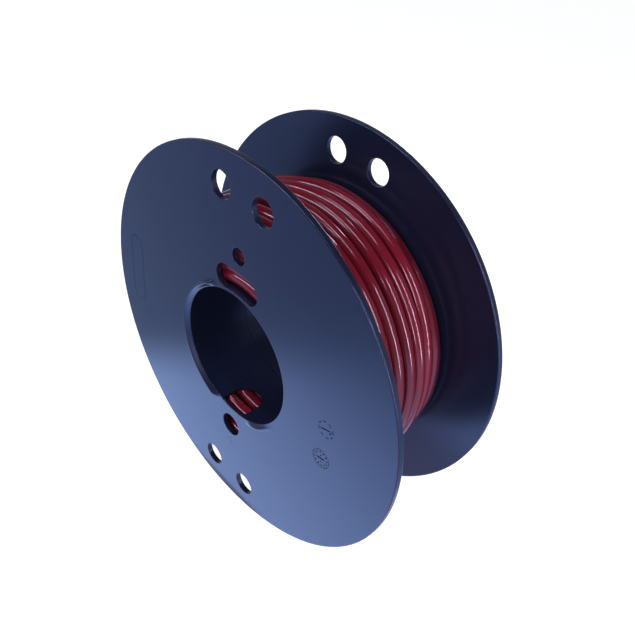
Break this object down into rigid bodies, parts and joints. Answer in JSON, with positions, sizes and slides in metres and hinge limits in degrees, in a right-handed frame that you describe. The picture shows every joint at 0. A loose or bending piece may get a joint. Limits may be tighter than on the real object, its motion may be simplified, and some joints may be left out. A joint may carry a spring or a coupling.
{
  "type": "wire spool",
  "caption": "Flanged plastic wire spool with a wide bore, drive holes and wire slots, wound with red insulated single core wire.",
  "frame": {"origin": "centre of the bore, half way between the two outer flange faces", "axes": "+Y along the bore axis, from the near half to the far half; +Z towards the wire slot and the small hole; the spool stands on its two rims"},
  "size_m": [0.2, 0.072, 0.2],
  "materials": {
    "near_half": "satin",
    "far_half": "satin",
    "wire_inner_layers": "gloss",
    "wire_outer_layer": "gloss",
    "wire_cut_end": "gloss",
    "conductor_end": "bright cut copper"
  },
  "bodies": {
    "root": {"near_half": "near_half", "far_half": "far_half", "wire_inner_layers": "wire_inner_layers", "wire_outer_layer": "wire_outer_layer", "wire_cut_end": "wire_cut_end", "conductor_end": "conductor_end"}
  },
  "joints": []
}
